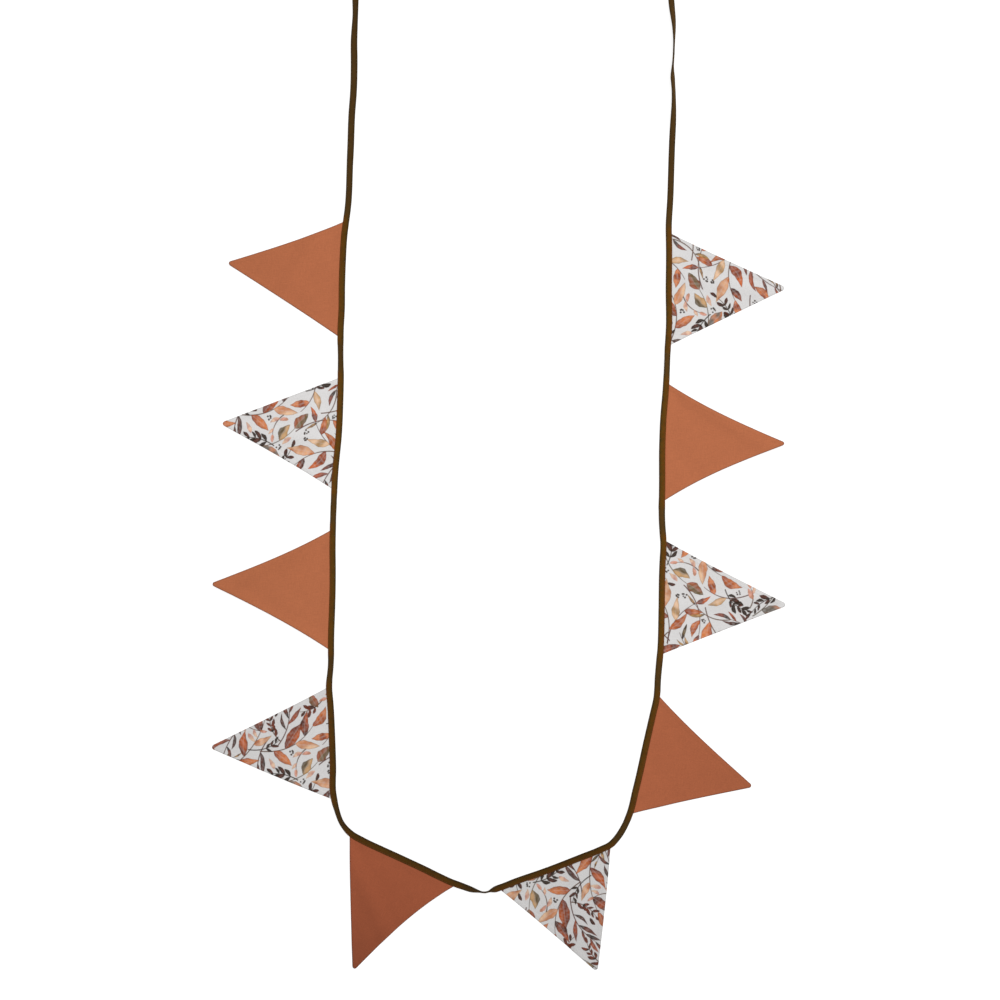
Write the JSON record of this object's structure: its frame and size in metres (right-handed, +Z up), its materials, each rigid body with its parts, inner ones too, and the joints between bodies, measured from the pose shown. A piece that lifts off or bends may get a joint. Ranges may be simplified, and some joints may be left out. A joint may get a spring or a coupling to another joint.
{
  "type": "bunting",
  "caption": "Cotton bunting lying flat in a long U: triangular pennants, plain and leaf-printed in turn, sewn into one folded binding tape with two free tie ends.",
  "frame": {"origin": "on the surface the bunting lies on, under the middle of its outline", "axes": "+Z up from the surface, +Y from the foot of the U to the two tie ends, +X to the right seen from above"},
  "size_m": [0.8597, 1.495, 0.0101],
  "materials": {
    "binding_tape": "matt dark olive-brown plain-weave cotton binding",
    "terracotta_cotton": "matt terracotta plain-weave cotton",
    "leaf_print_cotton": "matt white cotton with a scattered autumn leaf print"
  },
  "bodies": {
    "root": {"binding_tape": "binding_tape", "pennant_01_plain": "terracotta_cotton", "pennant_02_print": "leaf_print_cotton", "pennant_03_plain": "terracotta_cotton", "pennant_04_print": "leaf_print_cotton", "pennant_05_plain": "terracotta_cotton", "pennant_06_print": "leaf_print_cotton", "pennant_07_plain": "terracotta_cotton", "pennant_08_print": "leaf_print_cotton", "pennant_09_plain": "terracotta_cotton", "pennant_10_print": "leaf_print_cotton"}
  },
  "joints": []
}
